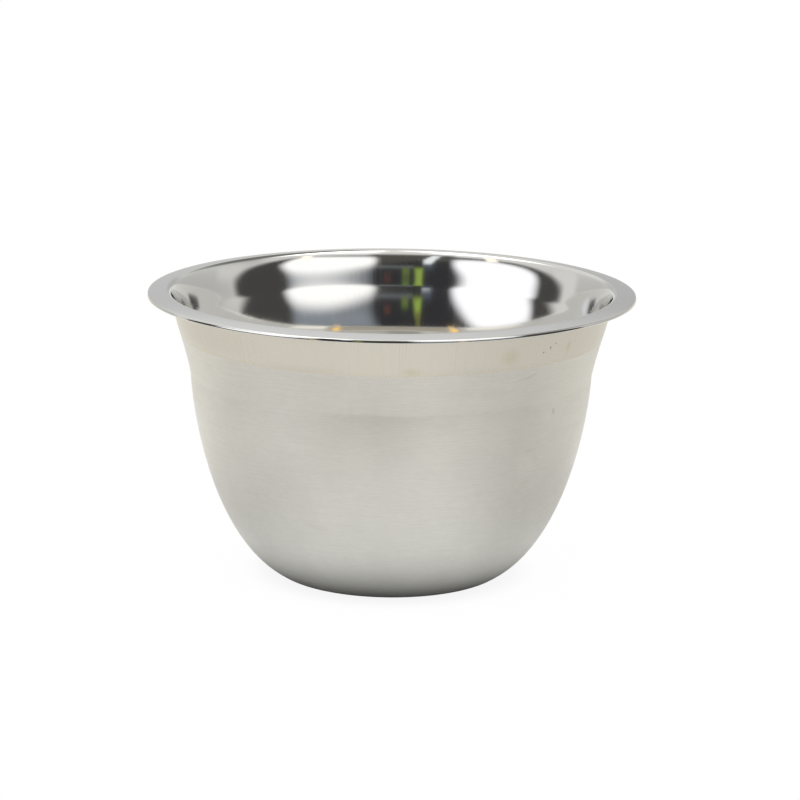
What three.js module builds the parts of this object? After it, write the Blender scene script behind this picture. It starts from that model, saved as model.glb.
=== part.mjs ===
// Shaving bowl: one deep round bowl drawn from a single sheet of stainless steel.
// It stands on a flat ring round a shallow recess. Its wall swells up to a shoulder, flares out
// to a faint crease, goes on as a collar, and turns over into a narrow lip with a rounded edge.
// Millimetres, +Z up, origin at the middle of the standing ring.

import * as THREE from 'three';

// Overall sizes
const RIM_DIAMETER = 112;      // over the outer edge of the lip
const HEIGHT = 66.4;           // standing ring to the crest of the lip
const SHEET = 0.7;             // thickness of the steel, the same everywhere

// Base
const FOOT_DIAMETER = 48.7;    // outer edge of the flat ring that the bowl stands on
const RECESS_DIAMETER = 35;    // inner edge of that ring
const RECESS_DEPTH = 0.6;      // how far the middle of the base is pressed up
const RECESS_RAMP = 2.4;       // width of the slope between ring and recess

// Body
const HEEL_RADIUS = 4.3;       // outer radius of the bend from base to wall
const HEEL_ANGLE = 30;         // slope of the wall where that bend ends, degrees
const SHOULDER_INSET = 9.8;    // shoulder of the body, in from the lip's outer edge
const SHOULDER_DROP = 19.5;    // shoulder of the body, down from the crest of the lip
const SHOULDER_ANGLE = 87;     // slope of the wall at the shoulder, degrees

// Flare and collar
const FLARE_STEP = 2.75;       // how far the crease stands out from the shoulder
const FLARE_RISE = 10.8;       // how far it lies above the shoulder
const FLARE_ANGLE = 72.5;      // slope of the wall just below the crease, degrees
const COLLAR_ANGLE = 75;       // slope of the wall just above the crease, degrees
const CREASE_LENGTH = 1.2;     // length over which the wall turns from one to the other
const CREASE_EASE = 0.33;      // reach of the crease's handles, in lengths of its chord

// Reach of the handles of the longer curves, in lengths of their chords
const EASE_OUT_OF_HEEL = 0.31;
const EASE_INTO_SHOULDER = 0.26;
const EASE_OUT_OF_SHOULDER = 0.08;
const EASE_INTO_CREASE = 0.46;
const EASE_OUT_OF_CREASE = 0.33;
const EASE_INTO_NECK = 0.27;

// Lip
const NECK_ANGLE = 65.2;       // slope of the wall where the lip's bend begins, degrees
const LIP_BEND = 0.55;         // radius of that bend on its underside
const LIP_WIDTH = 3.8;         // straight part of the lip
const LIP_DROOP = 8;           // how far the lip slopes down outwards, degrees

// Facets
const FACETS_ROUND = 72;       // round the axis
const FACETS = {
  ramp: 3, heel: 3, body: 10, flare: 5, crease: 2, collar: 4, bend: 2, brow: 1, edge: 2,
};

const steel = new THREE.MeshStandardMaterial({ color: 0xb9b8b3, roughness: 0.35, metalness: 1 });

const radians = THREE.MathUtils.degToRad;
const heading = (degrees) => new THREE.Vector2(Math.cos(radians(degrees)), Math.sin(radians(degrees)));

// An arc about a centre, from one angle to another in degrees, turning clockwise or not.
function arc(centre, radius, from, to, clockwise) {
  return new THREE.EllipseCurve(
    centre.x, centre.y, radius, radius, radians(from), radians(to), clockwise);
}

// A fair curve that leaves one point at a slope and reaches another at a second slope.
function sweep(start, startSlope, end, endSlope, startReach, endReach) {
  const chord = start.distanceTo(end);
  return new THREE.CubicBezierCurve(
    start,
    start.clone().addScaledVector(heading(startSlope), chord * startReach),
    end.clone().addScaledVector(heading(endSlope), -chord * endReach),
    end);
}

// The underside of the sheet in (radius, height), from the axis out to the edge of the lip,
// as a list of [curve, facets].
function undersideCurves() {
  const footRadius = FOOT_DIAMETER / 2;
  const recessRadius = RECESS_DIAMETER / 2;
  const centre = new THREE.Vector2(0, RECESS_DEPTH);
  const rampTop = new THREE.Vector2(recessRadius - RECESS_RAMP, RECESS_DEPTH);
  const rampFoot = new THREE.Vector2(recessRadius, 0);
  const heelStart = new THREE.Vector2(footRadius, 0);
  const heelCentre = new THREE.Vector2(footRadius, HEEL_RADIUS);
  const heelEnd = heading(HEEL_ANGLE - 90).multiplyScalar(HEEL_RADIUS).add(heelCentre);

  const shoulder = new THREE.Vector2(RIM_DIAMETER / 2 - SHOULDER_INSET, HEIGHT - SHOULDER_DROP);
  const crease = shoulder.clone().add(new THREE.Vector2(FLARE_STEP, FLARE_RISE));
  const creaseStart = crease.clone().addScaledVector(heading(FLARE_ANGLE), -CREASE_LENGTH / 2);
  const creaseEnd = crease.clone().addScaledVector(heading(COLLAR_ANGLE), CREASE_LENGTH / 2);

  // The lip is laid out from its crest and its outer edge inwards.
  const middleOfSheet = SHEET / 2;
  const bendCentre = new THREE.Vector2(
    RIM_DIAMETER / 2 - middleOfSheet - LIP_WIDTH * Math.cos(radians(LIP_DROOP))
      - (LIP_BEND + middleOfSheet) * Math.sin(radians(LIP_DROOP)),
    HEIGHT - SHEET - LIP_BEND);
  const neck = heading(NECK_ANGLE + 90).multiplyScalar(LIP_BEND).add(bendCentre);
  const lipStart = heading(90 - LIP_DROOP).multiplyScalar(LIP_BEND).add(bendCentre);
  const lipEnd = lipStart.clone().addScaledVector(heading(-LIP_DROOP), LIP_WIDTH);

  return [
    [new THREE.LineCurve(centre, rampTop), 1],
    [sweep(rampTop, 0, rampFoot, 0, 0.5, 0.5), FACETS.ramp],
    [new THREE.LineCurve(rampFoot, heelStart), 1],
    [arc(heelCentre, HEEL_RADIUS, -90, HEEL_ANGLE - 90, false), FACETS.heel],
    [sweep(heelEnd, HEEL_ANGLE, shoulder, SHOULDER_ANGLE, EASE_OUT_OF_HEEL, EASE_INTO_SHOULDER),
      FACETS.body],
    [sweep(shoulder, SHOULDER_ANGLE, creaseStart, FLARE_ANGLE, EASE_OUT_OF_SHOULDER, EASE_INTO_CREASE),
      FACETS.flare],
    [sweep(creaseStart, FLARE_ANGLE, creaseEnd, COLLAR_ANGLE, CREASE_EASE, CREASE_EASE),
      FACETS.crease],
    [sweep(creaseEnd, COLLAR_ANGLE, neck, NECK_ANGLE, EASE_OUT_OF_CREASE, EASE_INTO_NECK),
      FACETS.collar],
    [arc(bendCentre, LIP_BEND, NECK_ANGLE + 90, 90, true), FACETS.bend],
    [arc(bendCentre, LIP_BEND, 90, 90 - LIP_DROOP, true), FACETS.brow],
    [new THREE.LineCurve(lipStart, lipEnd), 1],
  ];
}

// Points along the underside, and the matching points of the upper side one sheet thickness off.
function sheetSides() {
  const under = [];
  const upper = [];
  const add = (curve, t) => {
    const point = curve.getPoint(t);
    const tangent = curve.getTangent(t);
    under.push(point);
    upper.push(new THREE.Vector2(point.x - tangent.y * SHEET, point.y + tangent.x * SHEET));
  };
  const curves = undersideCurves();
  for (const [curve, facets] of curves) {
    for (let i = 0; i < facets; i += 1) add(curve, i / facets);
  }
  add(curves.at(-1)[0], 1);
  return { under, upper };
}

// The whole section: along the underside, round the lip's edge and back along the upper side.
function section() {
  const { under, upper } = sheetSides();
  const edgeCentre = under.at(-1).clone().add(upper.at(-1)).multiplyScalar(0.5);
  const lowerEdge = arc(edgeCentre, SHEET / 2, -90 - LIP_DROOP, 0, false).getPoints(FACETS.edge);
  const upperEdge = arc(edgeCentre, SHEET / 2, 0, 90 - LIP_DROOP, false).getPoints(FACETS.edge);
  return [...under, ...lowerEdge.slice(1), ...upperEdge.slice(1, -1), ...upper.reverse()];
}

const bowl = new THREE.Mesh(
  new THREE.LatheGeometry(section(), FACETS_ROUND).rotateX(Math.PI / 2), steel);
bowl.name = 'bowl';

const shavingBowl = new THREE.Group();
shavingBowl.add(bowl);

export default shavingBowl;
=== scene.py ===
"""A stainless steel shaving bowl, pressed from one sheet, dressed and lit for a studio view.

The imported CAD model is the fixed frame. The bowl is turned again on its own axis at a finer
step, and finished as the real one is: satin turned outside, buffed under the lip, polished
to a mirror inside.
"""

from __future__ import annotations

import logging
import math
from dataclasses import dataclass, field
from enum import Enum
from typing import Mapping, Sequence, Union

import bpy
from mathutils import Matrix, Vector


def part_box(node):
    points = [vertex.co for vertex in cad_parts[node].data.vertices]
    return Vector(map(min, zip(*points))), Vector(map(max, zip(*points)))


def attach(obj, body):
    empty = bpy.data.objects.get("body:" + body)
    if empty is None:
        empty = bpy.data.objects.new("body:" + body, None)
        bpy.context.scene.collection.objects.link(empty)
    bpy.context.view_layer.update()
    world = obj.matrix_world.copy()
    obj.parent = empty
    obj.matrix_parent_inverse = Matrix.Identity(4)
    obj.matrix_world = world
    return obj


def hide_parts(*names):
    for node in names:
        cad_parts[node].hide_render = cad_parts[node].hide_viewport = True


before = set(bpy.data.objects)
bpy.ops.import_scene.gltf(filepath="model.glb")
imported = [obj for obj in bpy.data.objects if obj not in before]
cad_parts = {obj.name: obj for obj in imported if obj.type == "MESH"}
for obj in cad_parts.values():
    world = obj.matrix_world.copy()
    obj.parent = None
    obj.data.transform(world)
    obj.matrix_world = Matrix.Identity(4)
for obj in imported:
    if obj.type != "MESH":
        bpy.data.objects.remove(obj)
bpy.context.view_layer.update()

log = logging.getLogger("shaving_bowl")

Colour = tuple[float, float, float]
Source = Union["Wire", float, int, bool, str, tuple, bpy.types.Material]

MM = 0.001
BODY = "root"
BOWL_NODE = "bowl"

Span = tuple[float, float]
WHITE: Colour = (1.0, 1.0, 1.0)


# Node writing


class Wire:
    """An output socket of a node tree, with the arithmetic that the finishes are written in."""

    def __init__(self, bench: Bench, socket: bpy.types.NodeSocket) -> None:
        """Holds a socket and the bench that can add nodes after it."""
        self.bench = bench
        self.socket = socket

    def _math(self, operation: str, *terms: Source, swap: bool = False) -> Wire:
        """Adds the node that combines this wire with other terms.

        Args:
            operation: the name that Math, Vector Math and Mix share for it.
            terms: the other operands.
            swap: whether this wire is the second operand.

        Returns:
            The result's wire.
        """
        operands: list[Source] = [self, *terms]
        if swap:
            operands.reverse()
        vector = any(isinstance(o, Wire) and o.socket.type == "VECTOR" for o in operands)
        colour = any(isinstance(o, Wire) and o.socket.type == "RGBA" for o in operands)
        if colour:
            return self.bench.mix_colours(operation, operands[0], operands[1])
        kind = "ShaderNodeVectorMath" if vector else "ShaderNodeMath"
        values = dict(enumerate(spread(o) if vector else o for o in operands))
        return self.bench.node(kind, {"operation": operation}, values)

    def __add__(self, other: Source) -> Wire:
        """Sum."""
        return self._math("ADD", other)

    def __radd__(self, other: Source) -> Wire:
        """Sum, reflected."""
        return self._math("ADD", other, swap=True)

    def __sub__(self, other: Source) -> Wire:
        """Difference."""
        return self._math("SUBTRACT", other)

    def __rsub__(self, other: Source) -> Wire:
        """Difference, reflected."""
        return self._math("SUBTRACT", other, swap=True)

    def __mul__(self, other: Source) -> Wire:
        """Product."""
        return self._math("MULTIPLY", other)

    def __rmul__(self, other: Source) -> Wire:
        """Product, reflected."""
        return self._math("MULTIPLY", other, swap=True)

    def __truediv__(self, other: Source) -> Wire:
        """Quotient."""
        return self._math("DIVIDE", other)

    def __rtruediv__(self, other: Source) -> Wire:
        """Quotient, reflected."""
        return self._math("DIVIDE", other, swap=True)

    def fn(self, operation: str, *terms: Source) -> Wire:
        """Any other Math operation on this wire, such as ABSOLUTE or ARCTAN2."""
        return self._math(operation, *terms)

    def ease(self, low: Source, high: Source) -> Wire:
        """A smooth rise from 0 at low to 1 at high. It falls where low is the larger."""
        return self.bench.node(
            "ShaderNodeMapRange",
            {"interpolation_type": "SMOOTHSTEP"},
            {"Value": self, "From Min": low, "From Max": high, "To Min": 0.0, "To Max": 1.0},
        )


def spread(term: Source) -> Source:
    """Turns a number into a vector with it three times over, and leaves anything else alone."""
    return (term,) * 3 if isinstance(term, (int, float)) else term


class Bench:
    """Writes nodes into one tree."""

    def __init__(self, tree: bpy.types.NodeTree) -> None:
        """Starts on a tree with nothing in it."""
        self.tree = tree
        tree.nodes.clear()

    def place(self, kind: str, settings: Mapping[str, object], values: Mapping) -> bpy.types.Node:
        """Adds a node.

        Args:
            kind: the node's type name.
            settings: its own properties, set before its sockets. "stops" holds a ramp's stops.
            values: what goes into its sockets, by their name or number.

        Returns:
            The node.
        """
        node = self.tree.nodes.new(kind)
        for name, setting in settings.items():
            if name == "stops":
                self._set_stops(node, setting)
            else:
                setattr(node, name, setting)
        for key, value in values.items():
            self.join(value, node.inputs[key])
        return node

    def node(self, kind: str, settings: Mapping[str, object] | None = None,
             values: Mapping | None = None, output: Union[int, str, None] = None) -> Wire:
        """Adds a node and returns one of its outputs.

        Args:
            kind: the node's type name.
            settings: its own properties.
            values: what goes into its sockets, by their name or number.
            output: the output's name or number, or None for the first that is in use.

        Returns:
            The output's wire.
        """
        node = self.place(kind, settings or {}, values or {})
        if output is None:
            return Wire(self, next(s for s in node.outputs if s.enabled))
        return Wire(self, node.outputs[output])

    def join(self, value: Source, socket: bpy.types.NodeSocket) -> None:
        """Links a wire to an input socket, or sets the socket to a plain value.

        Args:
            value: the wire or the plain value.
            socket: the input socket.
        """
        if isinstance(value, Wire):
            self.tree.links.new(value.socket, socket)
        elif socket.type == "RGBA":
            socket.default_value = (*value, 1.0) if isinstance(value, tuple) else (*(value,) * 3, 1.0)
        elif socket.type == "INT":
            socket.default_value = int(value)
        else:
            socket.default_value = value

    @staticmethod
    def _set_stops(node: bpy.types.Node, stops: Sequence[tuple[float, Colour]]) -> None:
        """Gives a colour ramp its stops.

        Args:
            node: the ramp's node.
            stops: each stop as (place, colour).
        """
        elements = node.color_ramp.elements
        while len(elements) < len(stops):
            elements.new(1.0)
        for element, (place, colour) in zip(elements, stops):
            element.position = place
            element.color = (*colour, 1.0)

    def mix_colours(self, blend: str, first: Source, second: Source, factor: Source = 1.0) -> Wire:
        """Blends two colours.

        Args:
            blend: the blend's name, MIX for a plain one.
            first: the colour at factor 0.
            second: the colour that is blended in.
            factor: how much of it.

        Returns:
            The blended colour.
        """
        kind = "ShaderNodeMix"
        settings = {"data_type": "RGBA", "blend_type": blend}
        return self.node(kind, settings, {0: factor, 6: first, 7: second}, output=2)

    def noise(self, vector: Source, scale: Source = 1.0, detail: float = 2.0, seed: Source = 0.0) -> Wire:
        """Smooth noise from 0 to 1 at a place.

        Args:
            vector: the place.
            scale: how many waves a unit of it holds.
            detail: how many finer octaves are added, each at half the strength of the last.
            seed: which noise it is.

        Returns:
            The noise.
        """
        values = {"Vector": vector, "W": seed, "Scale": scale, "Detail": detail, "Roughness": 0.5}
        return self.node("ShaderNodeTexNoise", {"noise_dimensions": "4D"}, values, output=0)

    def length(self, vector: Wire) -> Wire:
        """The length of a vector."""
        return self.node("ShaderNodeVectorMath", {"operation": "LENGTH"}, {0: vector}, "Value")

    def combine(self, x: Source, y: Source, z: Source) -> Wire:
        """A vector from three numbers."""
        return self.node("ShaderNodeCombineXYZ", {}, {0: x, 1: y, 2: z})

    def split(self, vector: Wire) -> tuple[Wire, Wire, Wire]:
        """The three numbers of a vector."""
        node = self.place("ShaderNodeSeparateXYZ", {}, {0: vector})
        return Wire(self, node.outputs[0]), Wire(self, node.outputs[1]), Wire(self, node.outputs[2])


# The section


@dataclass(frozen=True)
class Line:
    """A straight stretch of a section."""

    start: Vector
    end: Vector

    def at(self, t: float) -> tuple[Vector, Vector]:
        """The point at t from 0 to 1, and the direction there."""
        return self.start.lerp(self.end, t), (self.end - self.start).normalized()


@dataclass(frozen=True)
class Arc:
    """A round stretch of a section, between two angles in degrees."""

    centre: Vector
    radius: float
    first: float
    last: float

    def at(self, t: float) -> tuple[Vector, Vector]:
        """The point at t from 0 to 1, and the direction there."""
        angle = self.first + (self.last - self.first) * t
        ahead = heading(angle + math.copysign(90, self.last - self.first))
        return self.centre + self.radius * heading(angle), ahead


@dataclass(frozen=True)
class Sweep:
    """A fair stretch of a section that leaves and arrives at given slopes, in degrees."""

    start: Vector
    start_slope: float
    end: Vector
    end_slope: float
    start_reach: float
    end_reach: float

    def at(self, t: float) -> tuple[Vector, Vector]:
        """The point at t from 0 to 1, and the direction there."""
        chord = (self.end - self.start).length
        a, d = self.start, self.end
        b = a + heading(self.start_slope) * chord * self.start_reach
        c = d - heading(self.end_slope) * chord * self.end_reach
        s = 1 - t
        point = a * s**3 + b * 3 * s * s * t + c * 3 * s * t * t + d * t**3
        ahead = (b - a) * s * s + (c - b) * 2 * s * t + (d - c) * t * t
        return point, ahead.normalized()


def heading(degrees: float) -> Vector:
    """The unit vector that points that way in a section, from straight out towards straight up."""
    return Vector((math.cos(math.radians(degrees)), math.sin(math.radians(degrees))))


class Side(Enum):
    """The two sides of the sheet, by the number that marks them on the mesh."""

    OUTSIDE = 0.0
    INSIDE = 1.0


@dataclass(frozen=True)
class SectionPoint:
    """A point of the bowl's section."""

    radius: float
    height: float
    along: float
    side: Side


@dataclass(frozen=True)
class LipEdge:
    """The trimmed edge of the lip: a nearly upright face with a rounded corner over and under it.

    The angles are those of the face's outward direction, in degrees up from level.
    """

    lower_round: float = 0.12 * MM
    upper_round: float = 0.20 * MM
    face_low: float = 9.0
    face_high: float = 21.0
    steps: tuple[int, int, int] = (6, 5, 5)

    def _face_round(self, sheet: float, droop: float) -> float:
        """The radius of the face, so that the three arcs take up the sheet's thickness."""
        low, high = (math.sin(math.radians(angle + droop)) for angle in (self.face_low, self.face_high))
        return (sheet - self.lower_round * (1 + low) - self.upper_round * (1 - high)) / (high - low)

    def reach(self, sheet: float, droop: float) -> float:
        """How far the edge stands out past the end of the lip's underside.

        Args:
            sheet: the thickness of the sheet.
            droop: how far the lip slopes down at its edge, in degrees.

        Returns:
            The distance, in metres.
        """
        face = self._face_round(sheet, droop)
        lean = math.cos(math.radians(min(self.face_low, 0.0)))
        return self.lower_round * (math.sin(math.radians(droop)) + lean) + face * (1 - lean)

    def points(self, start: Vector, sheet: float, droop: float) -> list[Vector]:
        """The points round the edge.

        Args:
            start: the end of the lip's underside.
            sheet: the thickness of the sheet.
            droop: how far the lip slopes down at its edge, in degrees.

        Returns:
            The points after start, up to the lip's top.
        """
        turns = (-90.0 - droop, self.face_low, self.face_high, 90.0 - droop)
        radii = (self.lower_round, self._face_round(sheet, droop), self.upper_round)
        found = [start]
        for radius, first, last, steps in zip(radii, turns, turns[1:], self.steps):
            arc = Arc(found[-1] - radius * heading(first), radius, first, last)
            found += [arc.at(i / steps)[0] for i in range(1, steps + 1)]
        return found[1:]


@dataclass(frozen=True)
class BowlSection:
    """The shape that the bowl is turned from, in metres and degrees."""

    rim_radius: float
    height: float
    sheet: float = 0.7 * MM
    foot_radius: float = 24.35 * MM
    recess_radius: float = 17.5 * MM
    recess_depth: float = 0.6 * MM
    recess_ramp: float = 2.4 * MM
    heel_radius: float = 4.3 * MM
    heel_angle: float = 30.0
    shoulder_inset: float = 9.8 * MM
    shoulder_drop: float = 19.5 * MM
    shoulder_angle: float = 87.0
    flare_step: float = 2.75 * MM
    flare_rise: float = 10.8 * MM
    flare_angle: float = 72.5
    collar_angle: float = 75.0
    crease_length: float = 1.2 * MM
    crease_ease: float = 0.33
    ease_out_of_heel: float = 0.31
    ease_into_shoulder: float = 0.26
    ease_out_of_shoulder: float = 0.08
    ease_into_crease: float = 0.46
    ease_out_of_crease: float = 0.33
    ease_into_neck: float = 0.27
    neck_angle: float = 65.2
    lip_bend: float = 0.55 * MM
    lip_width: float = 4.08 * MM
    lip_droop: float = 8.0
    lip_crown: float = 2.0
    edge: LipEdge = LipEdge()

    @property
    def shoulder(self) -> Vector:
        """Where the body ends and the flare begins, in (radius, height)."""
        return Vector((self.rim_radius - self.shoulder_inset, self.height - self.shoulder_drop))

    @property
    def bend_centre(self) -> Vector:
        """The middle of the bend between the collar and the lip, right under the lip's crest.

        Returns:
            The place, in (radius, height).
        """
        reach = self.lip_width * math.cos(math.radians(self.lip_droop))
        sag = self.lip_bend * math.sin(math.radians(self.lip_droop - self.lip_crown))
        nose = self.edge.reach(self.sheet, self.lip_droop + self.lip_crown)
        return Vector((self.rim_radius - nose - reach - sag, self.height - self.sheet - self.lip_bend))

    @property
    def crease(self) -> Vector:
        """Where the flare ends and the collar begins, in (radius, height)."""
        return self.shoulder + Vector((self.flare_step, self.flare_rise))

    def underside(self) -> list[tuple[Union[Line, Arc, Sweep], int]]:
        """The outer side of the sheet, from the axis to the lip's edge.

        Returns:
            Each stretch with the number of steps on it.
        """
        bend = self.bend_centre
        ramp_top = Vector((self.recess_radius - self.recess_ramp, self.recess_depth))
        ramp_foot = Vector((self.recess_radius, 0.0))
        heel_start = Vector((self.foot_radius, 0.0))
        heel_centre = heel_start + Vector((0.0, self.heel_radius))
        heel = Arc(heel_centre, self.heel_radius, -90.0, self.heel_angle - 90.0)
        crease_start = self.crease - heading(self.flare_angle) * self.crease_length / 2
        crease_end = self.crease + heading(self.collar_angle) * self.crease_length / 2
        neck = Arc(bend, self.lip_bend, self.neck_angle + 90.0, 90.0)
        brow = Arc(bend, self.lip_bend, 90.0, 90.0 - self.lip_droop + self.lip_crown)
        lip_start = brow.at(1)[0]
        lip_end = lip_start + heading(-self.lip_droop) * self.lip_width
        body = Sweep(heel.at(1)[0], self.heel_angle, self.shoulder, self.shoulder_angle,
                     self.ease_out_of_heel, self.ease_into_shoulder)
        flare = Sweep(self.shoulder, self.shoulder_angle, crease_start, self.flare_angle,
                      self.ease_out_of_shoulder, self.ease_into_crease)
        crease = Sweep(crease_start, self.flare_angle, crease_end, self.collar_angle,
                       self.crease_ease, self.crease_ease)
        collar = Sweep(crease_end, self.collar_angle, neck.at(0)[0], self.neck_angle,
                       self.ease_out_of_crease, self.ease_into_neck)
        lip = Sweep(lip_start, self.lip_crown - self.lip_droop, lip_end, -self.lip_crown - self.lip_droop,
                    1 / 3, 1 / 3)
        return [
            (Line(Vector((0.0, self.recess_depth)), ramp_top), 3),
            (Sweep(ramp_top, 0.0, ramp_foot, 0.0, 0.5, 0.5), 8),
            (Line(ramp_foot, heel_start), 3),
            (heel, 10),
            (body, 44),
            (flare, 22),
            (crease, 6),
            (collar, 12),
            (neck, 10),
            (brow, 2),
            (lip, 6),
        ]

    def outline(self) -> list[SectionPoint]:
        """The whole section: out along the underside, round the lip's edge and back inside.

        Returns:
            The points in order, each with its distance travelled and its side of the sheet.
        """
        stretches = self.underside()
        samples = [curve.at(i / steps) for curve, steps in stretches for i in range(steps)]
        samples.append(stretches[-1][0].at(1))
        under = [point for point, _ in samples]
        upper = [point + self.sheet * Vector((-ahead.y, ahead.x)) for point, ahead in samples[:-1]]
        nose = self.edge.points(under[-1], self.sheet, self.lip_droop + self.lip_crown)
        points = [(p, Side.OUTSIDE) for p in under] + [(p, Side.INSIDE) for p in nose + upper[::-1]]
        outline: list[SectionPoint] = []
        along = 0.0
        for i, (point, side) in enumerate(points):
            if i:
                along += (point - points[i - 1][0]).length
            outline.append(SectionPoint(point.x, point.y, along, side))
        return outline


# Turning


@dataclass(frozen=True)
class Lathe:
    """Turns a section round the Z axis with a Geometry Nodes tree.

    The wall wanders by the waviness, but not below the firm foot or above the firm lip, which are
    shares of the height. A face takes the inside's finish where its side lies past the threshold.
    Turning the section leaves the faces pointing into the steel, so the tree flips them.
    """

    segments: int = 360
    waviness: float = 0.03 * MM
    wave_size: float = 14.0 * MM
    wave_seed: float = 4.0
    weld: float = 0.001 * MM
    firm_foot: float = 0.12
    firm_lip: float = 0.99
    inside_from: float = 0.01

    def _tree(self) -> bpy.types.NodeTree:
        """Writes the tree. Its input geometry is the section as a string of vertices.

        Returns:
            The tree.
        """
        tree = bpy.data.node_groups.new("turn_round_axis", "GeometryNodeTree")
        tree.is_modifier = True
        bench = Bench(tree)
        inputs = (
            ("Section", "NodeSocketGeometry"), ("Segments", "NodeSocketInt"),
            ("Waviness", "NodeSocketFloat"), ("Wave Size", "NodeSocketFloat"),
            ("Wave Seed", "NodeSocketFloat"), ("Weld Distance", "NodeSocketFloat"),
            ("Outside Finish", "NodeSocketMaterial"), ("Inside Finish", "NodeSocketMaterial"),
        )
        for name, kind in inputs:
            tree.interface.new_socket(name=name, in_out="INPUT", socket_type=kind)
        tree.interface.new_socket(name="Bowl", in_out="OUTPUT", socket_type="NodeSocketGeometry")
        given = bench.place("NodeGroupInput", {}, {})

        def take(name: str) -> Wire:
            """One of the tree's inputs."""
            return Wire(bench, given.outputs[name])

        section = take("Section")
        rows = bench.node("GeometryNodeAttributeDomainSize", {"component": "MESH"}, {0: section},
                          "Point Count")
        columns = take("Segments") + 1
        grid = bench.node("GeometryNodeMeshGrid", {}, {"Vertices X": rows, "Vertices Y": columns}, "Mesh")
        index = bench.node("GeometryNodeInputIndex")
        row = ((index + 0.5) / columns).fn("FLOOR")
        column = index - row * columns
        turn = column / take("Segments") * math.tau

        def from_section(value: Wire, data_type: str) -> Wire:
            """Reads a value at this vertex's row of the section."""
            return bench.node("GeometryNodeSampleIndex", {"data_type": data_type, "domain": "POINT"},
                              {"Geometry": section, "Value": value, "Index": row})

        def named(name: str) -> Wire:
            """A number stored on the section's vertices."""
            return bench.node("GeometryNodeInputNamedAttribute", {"data_type": "FLOAT"}, {"Name": name})

        flat_point = from_section(bench.node("GeometryNodeInputPosition"), "FLOAT_VECTOR")
        point = bench.node("ShaderNodeVectorRotate", {"rotation_type": "Z_AXIS"},
                           {"Vector": flat_point, "Angle": turn})
        x, y, _ = bench.split(point)
        wave = bench.noise(point, 1.0 / take("Wave Size"), detail=1.0, seed=take("Wave Seed"))
        freedom = from_section(named("freedom"), "FLOAT")
        outwards = bench.node("ShaderNodeVectorMath", {"operation": "NORMALIZE"},
                              {0: bench.combine(x, y, 0.0)})
        shift = outwards * ((wave - 0.5) * take("Waviness") * freedom)
        bowl = bench.node("GeometryNodeSetPosition", {},
                          {"Geometry": grid, "Position": point, "Offset": shift})
        for name in ("along", "side"):
            bowl = bench.node(
                "GeometryNodeStoreNamedAttribute", {"data_type": "FLOAT", "domain": "POINT"},
                {"Geometry": bowl, "Name": name, "Value": from_section(named(name), "FLOAT")})
        bowl = bench.node("GeometryNodeMergeByDistance", {},
                          {"Geometry": bowl, "Distance": take("Weld Distance")})
        bowl = bench.node("GeometryNodeFlipFaces", {}, {"Mesh": bowl})
        bowl = bench.node("GeometryNodeSetShadeSmooth", {}, {"Geometry": bowl})
        bowl = bench.node("GeometryNodeRealizeInstances", {}, {"Geometry": bowl})
        bowl = bench.node("GeometryNodeSetMaterial", {},
                          {"Geometry": bowl, "Material": take("Outside Finish")})
        polished = bench.node("FunctionNodeCompare", {"data_type": "FLOAT", "operation": "GREATER_THAN"},
                              {"A": named("side"), "B": self.inside_from})
        bowl = bench.node("GeometryNodeSetMaterial", {},
                          {"Geometry": bowl, "Selection": polished, "Material": take("Inside Finish")})
        bench.place("NodeGroupOutput", {}, {0: bowl})
        return tree

    def turn(self, name: str, section: BowlSection, outside: bpy.types.Material,
             inside: bpy.types.Material) -> bpy.types.Object:
        """Makes the turned piece as a plain mesh.

        Args:
            name: the piece's name.
            section: the shape to turn.
            outside: the finish on the outer side.
            inside: the finish on the inner side, the lip and its edge.

        Returns:
            The piece's object, at the origin.
        """
        outline = section.outline()
        mesh = bpy.data.meshes.new(name)
        mesh.from_pydata([(p.radius, 0.0, p.height) for p in outline],
                         [(i, i + 1) for i in range(len(outline) - 1)], [])
        columns = {
            "along": [p.along for p in outline],
            "side": [p.side.value for p in outline],
            "freedom": [self._freedom(p, section) for p in outline],
        }
        for title, numbers in columns.items():
            mesh.attributes.new(title, "FLOAT", "POINT").data.foreach_set("value", numbers)
        piece = bpy.data.objects.new(name, mesh)
        bpy.context.scene.collection.objects.link(piece)
        modifier = piece.modifiers.new("turn_round_axis", "NODES")
        modifier.node_group = self._tree()
        given = {
            "Segments": self.segments, "Waviness": self.waviness, "Wave Size": self.wave_size,
            "Wave Seed": self.wave_seed, "Weld Distance": self.weld,
            "Outside Finish": outside, "Inside Finish": inside,
        }
        for item in modifier.node_group.interface.items_tree:
            if item.in_out == "INPUT" and item.name in given:
                modifier[item.identifier] = given[item.name]
        evaluated = piece.evaluated_get(bpy.context.evaluated_depsgraph_get())
        turned = bpy.data.meshes.new_from_object(evaluated)
        piece.modifiers.remove(modifier)
        piece.data = turned
        turned.name = name
        bpy.data.meshes.remove(mesh)
        return piece

    def _freedom(self, point: SectionPoint, section: BowlSection) -> float:
        """How far the wall is free to wander at a point, from 0 to 1."""
        foot, lip = self.firm_foot * section.height, self.firm_lip * section.height
        return max(0.0, min(1.0, (point.height - foot) / foot, (lip - point.height) / foot))


# Finishes


@dataclass(frozen=True)
class SatinFinish:
    """Stainless steel turned against a fine abrasive: fine scratches that run round the bowl.

    A quarter turn of the anisotropy spreads reflections across the scratches, up and down the wall.
    A grain is given by its waves in a radian round the bowl and in a metre of the section.
    """

    colour: Colour = (0.650, 0.641, 0.612)
    dull_colour: Colour = (0.605, 0.597, 0.570)
    roughness: float = 0.42
    roughness_swing: float = 0.10
    anisotropy: float = 0.8
    quarter_turn: float = 0.25
    scratch_depth: float = 0.002 * MM
    long_scratches: Span = (5.0, 4200.0)
    short_scratches: Span = (22.0, 3400.0)
    clouds: Span = (4.0, 90.0)
    cloud_share: float = 0.3
    dulling: Span = (0.38, 0.62)


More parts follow.
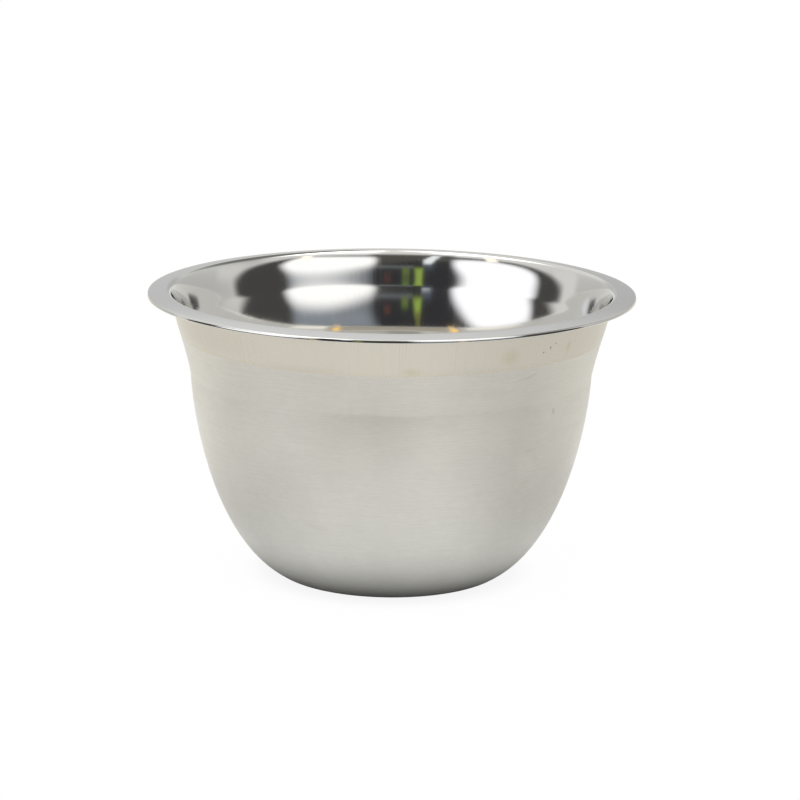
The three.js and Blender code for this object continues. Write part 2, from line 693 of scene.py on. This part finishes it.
@dataclass(frozen=True)
class BuffedFinish:
    """The collar under the lip, rubbed up and down on a mop until it half shines."""

    colour: Colour = (0.535, 0.517, 0.468)
    streak_colour: Colour = (0.480, 0.462, 0.415)
    edge_colour: Colour = (0.540, 0.503, 0.435)
    roughness: float = 0.28
    roughness_swing: float = 0.08
    anisotropy: float = 0.5
    streak_depth: float = 0.002 * MM
    streaks: Span = (260.0, 50.0)
    bunches: Span = (7.0, 30.0)
    streak_levels: Span = (0.52, 0.72)
    bunch_levels: Span = (0.42, 0.68)
    lower_edge: float = 56.4 * MM
    edge_width: float = 0.8 * MM
    edge_blur: float = 0.25 * MM


@dataclass(frozen=True)
class MirrorFinish:
    """The polished inside and the edge of the lip, with the lip's top brushed round once more."""

    colour: Colour = (0.625, 0.620, 0.605)
    roughness: float = 0.08
    roughness_swing: float = 0.16
    lip_colour: Colour = (0.600, 0.603, 0.600)
    lip_roughness: float = 0.20
    lip_roughness_swing: float = 0.08
    lip_anisotropy: float = 0.5
    quarter_turn: float = 0.25
    polishing: Span = (240.0, 25.0)
    brushing: Span = (4.0, 3600.0)
    brushing_depth: float = 0.001 * MM
    crest_blur: Span = (-0.1 * MM, 0.2 * MM)
    edge_width: float = 0.45 * MM
    edge_blur: float = 0.2 * MM


class MarkKind(Enum):
    """The kinds of small blemish on the outside, and a painted highlight, as (tint at the middle, softness of
    the rim).
    """

    STAIN = ((0.94, 0.92, 0.86), 1.6)
    HAZE = ((0.975, 0.965, 0.94), 1.8)
    DIRT = ((0.86, 0.84, 0.79), 1.2)
    PIT = ((0.40, 0.40, 0.40), 0.6)
    SCRATCH = ((0.90, 0.90, 0.90), 0.8)
    # A painted highlight: a brighter rounded patch, not a mark on the steel.
    PAINTED_HIGHLIGHT = ((1.05, 1.05, 1.05), 1.4)


@dataclass(frozen=True)
class Mark:
    """One blemish or painted highlight, placed by its angle round the bowl in degrees and its height in
    millimetres.

    Its two half sizes are in millimetres too, and its tilt turns it anticlockwise.
    """

    kind: MarkKind
    azimuth: float
    height: float
    half_length: float
    half_width: float
    tilt: float = 0.0


MARKS: tuple[Mark, ...] = (
    Mark(MarkKind.STAIN, 31.5, 59.6, 1.6, 1.9, 60.0),
    Mark(MarkKind.STAIN, 5.2, 57.4, 1.9, 0.7),
    Mark(MarkKind.STAIN, 52.0, 59.8, 0.8, 1.1),
    Mark(MarkKind.DIRT, 51.5, 44.6, 0.5, 0.6),
    Mark(MarkKind.HAZE, 42.8, 36.5, 1.2, 0.6),
    Mark(MarkKind.HAZE, 43.5, 29.0, 1.6, 0.5),
    # The painted highlight on the body, a brighter rounded patch.
    Mark(MarkKind.PAINTED_HIGHLIGHT, 42.5, 33.0, 2.4, 3.0, 30.0),
    Mark(MarkKind.HAZE, -10.6, 47.6, 0.6, 1.9, 12.0),
    Mark(MarkKind.HAZE, -30.2, 49.6, 0.6, 1.5, -20.0),
    Mark(MarkKind.HAZE, -24.0, 19.8, 3.2, 0.6, -14.0),
    Mark(MarkKind.PIT, 42.2, 59.5, 0.2, 0.2),
    Mark(MarkKind.PIT, 44.5, 60.3, 0.2, 0.3),
    Mark(MarkKind.PIT, 46.0, 61.3, 0.16, 0.2),
    Mark(MarkKind.SCRATCH, 38.0, 53.9, 2.6, 0.12, 9.0),
    Mark(MarkKind.SCRATCH, 40.5, 54.6, 1.8, 0.12, 16.0),
)


@dataclass(frozen=True)
class Whereabouts:
    """Where a shaded point lies on the bowl, as wires.

    x and y are the direction from the axis, z the height, across the distance from the axis, and
    along the distance travelled over the section from the middle of the base.
    """

    bench: Bench
    x: Wire
    y: Wire
    z: Wire
    across: Wire
    along: Wire

    @classmethod
    def on_bowl(cls, bench: Bench) -> Whereabouts:
        """Finds where a shaded point lies.

        Args:
            bench: the material's bench.

        Returns:
            Its whereabouts. A millionth keeps the axis itself from being divided by zero.
        """
        x, y, z = bench.split(bench.node("ShaderNodeTexCoord", output="Object"))
        across = bench.length(bench.combine(x, y, 0.0)) + 1e-6
        along = bench.node("ShaderNodeAttribute", {"attribute_name": "along"}, output="Fac")
        return cls(bench, x / across, y / across, z, across, along)

    def grain(self, waves: Span, detail: float = 3.0) -> Wire:
        """Noise that is drawn out round the bowl or up and down its wall.

        Args:
            waves: its waves in a radian round the bowl, and in a metre along the section.
            detail: how many finer octaves are added.

        Returns:
            The noise.
        """
        around, upright = waves
        place = self.bench.combine(self.x * around, self.y * around, self.along * upright)
        return self.bench.noise(place, detail=detail)


class SteelShop:
    """Writes the bowl's two materials. The rims of the marks wander, in waves counted to the metre."""

    mark_waves: float = 700.0
    mark_wander: float = 0.8 * MM

    def __init__(self, section: BowlSection) -> None:
        """Takes the sizes that the finishes follow from the section."""
        self.section = section
        self.satin = SatinFinish()
        self.buffed = BuffedFinish()
        self.mirror = MirrorFinish()

    @staticmethod
    def _begin(name: str) -> tuple[bpy.types.Material, Bench]:
        """Starts a material.

        Args:
            name: its name.

        Returns:
            The material and a bench on its empty tree.
        """
        material = bpy.data.materials.new(name)
        material.use_nodes = True
        return material, Bench(material.node_tree)

    @staticmethod
    def _bump(height: Wire, depth: float) -> Wire:
        """The normal of a surface that rises and falls by a depth in metres."""
        values = {"Strength": 1.0, "Distance": depth, "Height": height}
        return height.bench.node("ShaderNodeBump", {}, values)

    @staticmethod
    def _metal(colour: Source, roughness: Wire, **more: Source) -> Wire:
        """Bare metal.

        Args:
            colour: its colour.
            roughness: its roughness.
            more: other sockets of the shader, with an underscore for a space.

        Returns:
            The shader.
        """
        others = {name.replace("_", " "): value for name, value in more.items()}
        values = {"Base Color": colour, "Metallic": 1.0, "Roughness": roughness, **others}
        return roughness.bench.node("ShaderNodeBsdfPrincipled", {}, values)

    def _marked(self, spot: Whereabouts, colour: Wire) -> Wire:
        """Lays every blemish, and the painted highlight, over a colour.

        Args:
            spot: where the point lies.
            colour: the colour without blemishes.

        Returns:
            The colour with them.
        """
        bench = spot.bench
        around = spot.x.fn("ARCTAN2", 0.0 - spot.y) * self.section.crease.x
        wander = bench.noise(bench.combine(around, spot.z, 0.0), self.mark_waves, 1.0) - 0.5
        place = bench.combine(around + wander * self.mark_wander, spot.z - wander * self.mark_wander, 0.0)
        for mark in MARKS:
            tint, softness = mark.kind.value
            centre = (math.radians(mark.azimuth) * self.section.crease.x, mark.height * MM, 0.0)
            local = bench.node("ShaderNodeMapping", {"vector_type": "TEXTURE"}, {
                "Vector": place, "Location": centre, "Rotation": (0.0, 0.0, math.radians(mark.tilt)),
                "Scale": (mark.half_length * MM, mark.half_width * MM, 1.0)})
            inside = bench.length(local).ease(1.0 + softness / 2, 1.0 - softness / 2)
            colour = bench.mix_colours("MULTIPLY", colour, tint, inside)
        return colour

    def _satin(self, spot: Whereabouts) -> Wire:
        """The turned body: long fine scratches, short ones over them, and duller clouds.

        Args:
            spot: where the point lies.

        Returns:
            The shader.
        """
        satin = self.satin
        scratches = spot.grain(satin.long_scratches) * 0.5 + spot.grain(satin.short_scratches) * 0.5
        clouds = spot.grain(satin.clouds)
        mixture = scratches * (1.0 - satin.cloud_share) + clouds * satin.cloud_share
        dullness = mixture.ease(*satin.dulling)
        colour = spot.bench.mix_colours("MIX", satin.colour, satin.dull_colour, dullness)
        roughness = (scratches - 0.5) * satin.roughness_swing + satin.roughness
        return self._metal(
            self._marked(spot, colour), roughness, Anisotropic=satin.anisotropy,
            Anisotropic_Rotation=satin.quarter_turn, Normal=self._bump(scratches, satin.scratch_depth))

    def _buffed(self, spot: Whereabouts) -> Wire:
        """The collar: fine upright streaks in bunches, and a stained lower edge.

        Args:
            spot: where the point lies.

        Returns:
            The shader.
        """
        buffed = self.buffed
        streaks, bunches = spot.grain(buffed.streaks, 2.0), spot.grain(buffed.bunches, 2.0)
        dark = streaks.ease(*buffed.streak_levels) * bunches.ease(*buffed.bunch_levels)
        colour = spot.bench.mix_colours("MIX", buffed.colour, buffed.streak_colour, dark)
        edge = spot.z.ease(buffed.lower_edge + buffed.edge_width, buffed.lower_edge)
        colour = spot.bench.mix_colours("MIX", colour, buffed.edge_colour, edge)
        roughness = (streaks - 0.5) * buffed.roughness_swing + buffed.roughness
        return self._metal(
            self._marked(spot, colour), roughness, Anisotropic=buffed.anisotropy,
            Normal=self._bump(streaks, buffed.streak_depth))

    def outside(self) -> bpy.types.Material:
        """The satin body and base below the buffed collar.

        Returns:
            The material.
        """
        material, bench = self._begin("satin_steel")
        spot = Whereabouts.on_bowl(bench)
        edge, blur = self.buffed.lower_edge, self.buffed.edge_blur
        collar = spot.z.ease(edge - blur, edge + blur)
        surface = bench.node("ShaderNodeMixShader", {}, {
            0: collar, 1: self._satin(spot), 2: self._buffed(spot)})
        bench.place("ShaderNodeOutputMaterial", {}, {"Surface": surface})
        return material

    def inside(self) -> bpy.types.Material:
        """The mirror inside, the lip's brushed top and its polished edge.

        Returns:
            The material.
        """
        material, bench = self._begin("mirror_steel")
        spot, finish = Whereabouts.on_bowl(bench), self.mirror
        polish, brushing = spot.grain(finish.polishing), spot.grain(finish.brushing)
        roughness = (polish - 0.5) * finish.roughness_swing + finish.roughness
        mirror = self._metal(finish.colour, roughness)
        roughness = (brushing - 0.5) * finish.lip_roughness_swing + finish.lip_roughness
        lip = self._metal(
            finish.lip_colour, roughness, Anisotropic=finish.lip_anisotropy,
            Anisotropic_Rotation=finish.quarter_turn, Normal=self._bump(brushing, finish.brushing_depth))
        past_crest = spot.across.ease(*(self.section.bend_centre.x + blur for blur in finish.crest_blur))
        edge = self.section.rim_radius - finish.edge_width
        on_top = past_crest * spot.across.ease(edge, edge - finish.edge_blur)
        surface = bench.node("ShaderNodeMixShader", {}, {0: on_top, 1: mirror, 2: lip})
        bench.place("ShaderNodeOutputMaterial", {}, {"Surface": surface})
        return material


# The bowl


@dataclass
class ShavingBowl:
    """The one piece of the object."""

    section: BowlSection
    lathe: Lathe = field(default_factory=Lathe)

    @classmethod
    def from_frame(cls) -> ShavingBowl:
        """Sizes the bowl by its CAD solid."""
        low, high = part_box(BOWL_NODE)
        return cls(BowlSection(rim_radius=(high.x - low.x) / 2, height=high.z - low.z))

    def build(self) -> bpy.types.Object:
        """Turns and finishes the bowl, and puts it in the CAD solid's place.

        Returns:
            The bowl's object.
        """
        shop = SteelShop(self.section)
        bowl = self.lathe.turn("steel_bowl", self.section, shop.outside(), shop.inside())
        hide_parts(BOWL_NODE)
        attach(bowl, BODY)
        return bowl


# The studio


class Glimpse(Enum):
    """Which sight of the studio a panel stands in: the first in the steel, or one seen through two."""

    FIRST = "steel sees the studio"
    SECOND = "steel sees the studio in steel"


@dataclass(frozen=True)
class Panel:
    """A soft-edged patch of the studio round the bowl, with straight sides and rounded corners.

    Its corners are (azimuth, elevation) in degrees and go round a convex shape. Azimuth 0 is
    behind the camera, and grows towards the camera's right. The softness of its edges and the
    roundness of its corners are in degrees too.
    """

    name: str
    colour: Colour
    softness: float
    roundness: float
    corners: tuple[Span, ...]

    def sides(self) -> list[Colour]:
        """Works out the panel's sides.

        Returns:
            Each as (a, b, c), where a * azimuth + b * elevation + c is the depth inside it.
        """
        middle = sum((Vector(corner) for corner in self.corners), Vector((0.0, 0.0))) / len(self.corners)
        sides = []
        for start, end in zip(self.corners, (*self.corners[1:], self.corners[0])):
            run = (Vector(end) - Vector(start)).normalized()
            inwards = Vector((-run.y, run.x))
            if inwards.dot(middle - Vector(start)) < 0:
                inwards.negate()
            sides.append((inwards.x, inwards.y, -inwards.dot(Vector(start))))
        return sides

    def share(self, place: Wire) -> Wire:
        """How much of the panel is seen in a direction.

        Args:
            place: the direction, as azimuth, elevation and 1.

        Returns:
            The share, from 0 outside the panel to 1 well inside it.
        """
        dot = {"operation": "DOT_PRODUCT"}
        depths = [place.bench.node("ShaderNodeVectorMath", dot, {0: place, 1: side}, "Value")
                  for side in self.sides()]
        nearest = depths[0]
        for depth in depths[1:]:
            nearest = nearest.fn("SMOOTH_MIN", depth, self.roundness)
        return nearest.ease(-self.softness / 2, self.softness / 2)


PANELS: dict[Glimpse, tuple[Panel, ...]] = {Glimpse.FIRST: (
    Panel("wall_edge_right", (0.90, 0.90, 0.87), 7.0, 3.0, ((110, 10), (110, 24), (90, 24), (90, 10))),
    Panel("wall_behind_right", (0.58, 0.58, 0.58), 9.0, 3.0, ((188, -6), (188, 19), (157, 19), (157, -6))),
    Panel("wall_behind_left", (0.66, 0.66, 0.66), 9.0, 3.0, ((-188, -6), (-188, 19), (-157, 19), (-157, -6))),
    Panel("wall_edge_left", (0.96, 0.96, 0.94), 6.0, 3.0, ((-119, -8), (-119, 20), (-100, 20), (-100, -8))),
    Panel("overhead_left", (3.7, 3.7, 3.7), 24.0, 10.0, ((-112, 45), (-30, 45), (-30, 95), (-112, 95))),
    Panel("overhead_middle", (1.1, 1.1, 1.05), 24.0, 10.0, ((-30, 45), (15, 45), (15, 95), (-30, 95))),
    Panel("overhead_right", (3.7, 3.7, 3.65), 24.0, 10.0, ((15, 45), (76, 45), (76, 95), (15, 95))),
    Panel("overhead_shade", (0.25, 0.25, 0.24), 24.0, 10.0, ((85, 30), (165, 30), (165, 95), (85, 95))),
    Panel("dark_room", (0.082, 0.080, 0.077), 4.5, 3.0, (
        (99, -8), (98, 10), (89, 17), (80, 22), (68, 27), (50, 32), (0, 34), (-50, 32), (-74, 27),
        (-89, 20), (-101, 13), (-108, 8), (-109, -8))),
    Panel("room_top", (0.115, 0.112, 0.10), 8.0, 3.0, ((12, 25), (12, 36), (-37, 36), (-37, 25))),
    Panel("dark_middle", (0.045, 0.045, 0.05), 4.0, 2.0, ((12, 8), (12, 21), (-18, 27), (-38, 26), (-38, 8))),
    Panel("haze", (0.34, 0.38, 0.43), 9.0, 4.0, ((60, 9), (8, 9), (14, 19), (60, 17))),
    Panel("softbox_right", (1.65, 1.65, 1.65), 5.0, 8.0, (
        (67, 20), (62, 16), (36, 16), (9, 22), (9, 31), (55, 31))),
    Panel("softbox_left", (1.65, 1.65, 1.72), 5.0, 8.0, (
        (-35, 28.5), (-60, 28.5), (-72, 25), (-83, 20), (-90, 12.5), (-90, 9), (-52, 9), (-34, 21))),
    Panel("lamp", (1.3, 1.35, 1.4), 2.0, 1.0, ((-29, 34), (-24, 34), (-18, 27), (-18, 23), (-22, 23))),
    Panel("shelf", (0.25, 0.27, 0.28), 1.6, 0.5, ((9, 22.2), (9, 21.2), (-12, 21.2), (-12, 22.2))),
    Panel("plant", (0.23, 0.34, 0.08), 2.6, 1.5, ((-6, 21), (-9.5, 21), (-9.5, 18.6), (-6, 18.6))),
    Panel("leaf", (0.42, 0.58, 0.12), 2.4, 1.5, ((-12.7, 21), (-17.7, 21), (-16.5, 15.5), (-14, 15.5))),
    Panel("stem", (0.22, 0.22, 0.07), 2.0, 1.0, ((-14, 17), (-17, 17), (-16.5, 9), (-15, 9))),
    Panel("red_chair", (0.17, 0.075, 0.06), 2.6, 1.5, ((4.5, 18.8), (1, 18.8), (1, 16.8), (4.5, 16.8))),
    Panel("window_edge", (0.10, 0.12, 0.16), 3.0, 1.0, ((-18, 23.5), (-24, 23.5), (-23, 20.5), (-19, 20.5))),
    Panel("warm_lamp_right", (1.9, 1.75, 1.5), 3.0, 1.0, ((54, 35), (48, 35), (48, 26), (54, 26))),
    Panel("warm_lamp_left", (1.9, 1.75, 1.5), 3.0, 1.0, ((-56, 35), (-63, 35), (-63, 27), (-56, 27))),
    Panel("candle_right", (2.2, 1.5, 0.5), 1.5, 0.5, ((31, 11), (34.8, 11), (34.8, 7), (31, 7))),
    Panel("candle_left", (2.2, 1.5, 0.5), 1.5, 0.5, ((-34, 11), (-37.8, 11), (-37.8, 7), (-34, 7))),
), Glimpse.SECOND: (
    Panel("beam_left", (2.2, 2.15, 2.0), 9.0, 6.0, ((-52, 38), (-62, 62), (-96, 62), (-101, 38))),
    Panel("beam_right", (2.2, 2.15, 2.0), 9.0, 6.0, ((6, 42), (14, 62), (80, 60), (86, 40))),
    Panel("ceiling_right", (0.84, 0.78, 0.66), 9.0, 2.0, ((95, 36), (185, 30), (185, 95), (95, 95))),
    Panel("ceiling_left", (0.84, 0.78, 0.66), 9.0, 2.0, (
        (-100, 36), (-185, 30), (-185, 95), (-100, 95))),
    Panel("dark_card_right", (0.12, 0.12, 0.13), 2.5, 1.0, (
        (102, 7), (102, 12), (92, 14), (82, 15.5), (82, 12.5), (92, 8.5))),
    Panel("dark_card_left", (0.10, 0.10, 0.13), 2.5, 1.0, (
        (-90.5, 13.5), (-90.5, 8), (-103, 7), (-103, 11.5))),
    Panel("white_card_left", (1.5, 1.56, 1.7), 2.0, 1.0, (
        (-76.5, 16.5), (-86, 17), (-86, 12.5), (-77, 13))),
    Panel("flame_right", (2.9, 1.9, 0.6), 5.0, 2.0, ((108, 50), (100, 50), (100, 34), (108, 34))),
    Panel("flame_left", (2.6, 1.7, 0.5), 6.0, 2.0, ((-109, 48), (-116, 48), (-116, 30), (-109, 30))),
)}


@dataclass(frozen=True)
class StudioCamera:
    """Where the camera stands, in metres and degrees."""

    distance: float = 655.2 * MM
    height: float = 191.3 * MM
    pitch: float = 12.993
    yaw: float = 0.186
    roll: float = 0.662
    lens: float = 130.7
    sensor: float = 36.0
    nearest: float = 10.0 * MM

    def place(self) -> bpy.types.Object:
        """Makes the scene's camera.

        Returns:
            The camera's object.
        """
        pitch, yaw, roll = (math.radians(a) for a in (self.pitch, self.yaw, self.roll))
        ahead = Vector((math.sin(yaw) * math.cos(pitch), math.cos(yaw) * math.cos(pitch), -math.sin(pitch)))
        level = ahead.cross(Vector((0, 0, 1))).normalized()
        over = level.cross(ahead)
        right = level * math.cos(roll) + over * math.sin(roll)
        up = over * math.cos(roll) - level * math.sin(roll)
        data = bpy.data.cameras.new("studio_camera")
        data.lens, data.sensor_width = self.lens, self.sensor
        data.clip_start = self.nearest
        camera = bpy.data.objects.new("studio_camera", data)
        camera.matrix_world = Matrix.Translation((0, -self.distance, self.height)) @ Matrix(
            (right, up, -ahead)).transposed().to_4x4()
        bpy.context.scene.collection.objects.link(camera)
        bpy.context.scene.camera = camera
        return camera


@dataclass(frozen=True)
class Studio:
    """The light round the bowl: pale walls, with panels of light and dark on them.

    The walls grow paler from one elevation to another, and their right half is shaded. Light that
    the camera sees by way of one reflection arrives at the first depth, and after more of them at
    greater ones.
    """

    low_wall: Colour = (0.70, 0.70, 0.68)
    high_wall: Colour = (1.0, 1.0, 0.98)
    paling: Span = (0.0, 32.0)
    shaded_side: Colour = (0.92, 0.92, 0.92)
    shade_from: Span = (-0.3, 0.3)
    second_wall: Colour = (1.18, 1.18, 1.15)
    first_depth: int = 2

    def light(self) -> None:
        """Makes the world, which the camera itself sees as plain white."""
        world = bpy.data.worlds.new("studio")
        world.use_nodes = True
        bench = Bench(world.node_tree)
        x, y, z = bench.split(bench.node("ShaderNodeTexCoord", output="Generated"))
        azimuth = x.fn("ARCTAN2", 0.0 - y) * math.degrees(1)
        elevation = z.fn("ARCSINE") * math.degrees(1)
        place = bench.combine(azimuth, elevation, 1.0)
        wall = bench.mix_colours("MIX", self.low_wall, self.high_wall, elevation.ease(*self.paling))
        wall = bench.mix_colours("MULTIPLY", wall, self.shaded_side, x.ease(*self.shade_from))
        first, second = (
            bench.node("ShaderNodeBackground", {}, {0: self._hang(place, base, glimpse), 1: 1.0})
            for base, glimpse in ((wall, Glimpse.FIRST), (self.second_wall, Glimpse.SECOND)))
        depth = bench.node("ShaderNodeLightPath", output="Ray Depth")
        deeper = depth.fn("GREATER_THAN", self.first_depth + 0.5)
        walls = bench.node("ShaderNodeMixShader", {}, {0: deeper, 1: first, 2: second})
        seen = bench.node("ShaderNodeLightPath", output="Is Camera Ray")
        white = bench.node("ShaderNodeBackground", {}, {0: WHITE, 1: 1.0})
        surface = bench.node("ShaderNodeMixShader", {}, {0: seen, 1: walls, 2: white})
        bench.place("ShaderNodeOutputWorld", {}, {"Surface": surface})
        bpy.context.scene.world = world

    @staticmethod
    def _hang(place: Wire, wall: Source, glimpse: Glimpse) -> Source:
        """Lays the panels of one glimpse over the colour of the walls.

        Args:
            place: the direction, as azimuth, elevation and 1.
            wall: the colour of the walls.
            glimpse: which panels to lay.

        Returns:
            The colour with the panels.
        """
        for panel in PANELS[glimpse]:
            wall = place.bench.mix_colours("MIX", wall, panel.colour, panel.share(place))
        return wall


@dataclass(frozen=True)
class PaleFloor:
    """The table that the bowl stands on: nearly white to the camera, and uneven in the steel.

    In the steel it glows with painted light and shade: a painted shadow under the swell of the bowl,
    painted shade to the sides and past its front edge, painted light at the back, and dimmer again
    far off. The stops give its colour at distances from the axis in millimetres; the dark first
    stops are the painted shadow, which the lit floor carries too. A span runs from where its share
    is 0 to where it is 1. Each of the sides is such a span to the right or left, with how much of
    the light it takes.
    """

    size: float = 12.0
    gap: float = 0.02 * MM
    ramp_reach: float = 160.0 * MM
    # The first stops are a painted shadow: the colour goes dark under the swell of the bowl.
    stops: tuple[tuple[float, Colour], ...] = (
        (24.0, (0.02, 0.02, 0.02)), (29.0, (0.14, 0.14, 0.14)), (34.0, (0.50, 0.51, 0.50)),
        (42.0, (0.93, 0.94, 0.93)), (60.0, (0.96, 0.96, 0.94)), (160.0, (0.98, 0.96, 0.91)))
    brightness: float = 1.17
    # Painted shade beside the bowl and to the sides, and painted light behind it, in the floor's glow.
    beside: Span = (20.0 * MM, 65.0 * MM)
    beside_end: Span = (118.0 * MM, 78.0 * MM)
    beside_shade: float = 0.40
    sides: tuple[tuple[float, float, float], ...] = (
        (30.0 * MM, 130.0 * MM, 0.22), (-90.0 * MM, -200.0 * MM, 0.26))
    front_edge: float = 240.0 * MM
    edge_softness: float = 90.0 * MM
    beyond_edge: float = 0.15
    behind: Span = (60.0 * MM, 140.0 * MM)
    behind_end: Span = (700.0 * MM, 380.0 * MM)
    behind_width: Span = (110.0 * MM, 60.0 * MM)
    behind_brightness: float = 0.35
    far_level: float = -0.3
    white_near: float = 0.90
    white_far: float = 0.985
    whitening: Span = (25.0 * MM, 36.0 * MM)
    shine: float = 0.7

    def lay(self) -> bpy.types.Object:
        """Makes the floor.

        Returns:
            The floor's object.
        """
        half = self.size / 2
        mesh = bpy.data.meshes.new("floor")
        corners = [(x, y, -self.gap) for x, y in ((-half, -half), (half, -half), (half, half), (-half, half))]
        mesh.from_pydata(corners, [], [(0, 1, 2, 3)])
        floor = bpy.data.objects.new("floor", mesh)
        bpy.context.scene.collection.objects.link(floor)
        mesh.materials.append(self._finish())
        return floor

    def _finish(self) -> bpy.types.Material:
        """Writes the floor's material.

        Returns:
            The material: mostly white to the camera, partly its own painted light and shade in the
            steel, and lit by the studio otherwise.
        """
        material = bpy.data.materials.new("pale_floor")
        material.use_nodes = True
        bench = Bench(material.node_tree)
        x, y, _ = bench.split(bench.node("ShaderNodeTexCoord", output="Object"))
        across = bench.length(bench.combine(x, y, 0.0))
        stops = [(radius * MM / self.ramp_reach, colour) for radius, colour in self.stops]
        # Painted shadow: the ramp darkens the floor's colour towards the foot, for the lit floor and its glow
        # alike.
        colour = bench.node("ShaderNodeValToRGB", {"stops": stops}, {0: across / self.ramp_reach}, 0)
        # The level is painted light and shade: the floor's glow in the steel, set by place.
        table = y.ease(-self.front_edge - self.edge_softness / 2, -self.front_edge + self.edge_softness / 2)
        level = (table * (1.0 - self.beyond_edge) + self.beyond_edge) * self.brightness
        aside = x.fn("ABSOLUTE")
        level = level * (1.0 - aside.ease(*self.beside) * across.ease(*self.beside_end) * self.beside_shade)
        for start, end, shade in self.sides:
            level = level * (1.0 - x.ease(start, end) * shade)
        band = y.ease(*self.behind) * y.ease(*self.behind_end) * aside.ease(*self.behind_width)
        level = level + band * self.behind_brightness + y.ease(*reversed(self.behind_end)) * self.far_level
        camera = bench.node("ShaderNodeLightPath", output="Is Camera Ray")
        glossy = bench.node("ShaderNodeLightPath", output="Is Glossy Ray")
        # Near the bowl a little of the painted shadow shows to the camera.
        share = across.ease(*self.whitening) * (self.white_far - self.white_near) + self.white_near
        lit = bench.node("ShaderNodeBsdfDiffuse", {}, {"Color": colour})
        # Painted light: the floor glows to glossy rays, though it is no lamp.
        shine = bench.node("ShaderNodeEmission", {}, {"Color": colour, "Strength": level})
        white = bench.node("ShaderNodeEmission", {}, {"Color": WHITE, "Strength": 1.0})
        mirrored = bench.node("ShaderNodeMixShader", {}, {0: glossy * self.shine, 1: lit, 2: shine})
        surface = bench.node("ShaderNodeMixShader", {}, {0: camera * share, 1: mirrored, 2: white})
        bench.place("ShaderNodeOutputMaterial", {}, {"Surface": surface})
        return material


def main() -> None:
    """Builds the bowl and its studio."""
    logging.basicConfig(level=logging.INFO, format="%(message)s")
    bpy.context.scene.view_settings.view_transform = "Standard"
    camera = StudioCamera().place()
    log.info("camera: %s", camera.name)
    bowl = ShavingBowl.from_frame().build()
    log.info("piece: %s, %d faces", bowl.name, len(bowl.data.polygons))
    Studio().light()
    floor = PaleFloor().lay()
    log.info("stage: %s", floor.name)


if __name__ == "__main__":
    main()
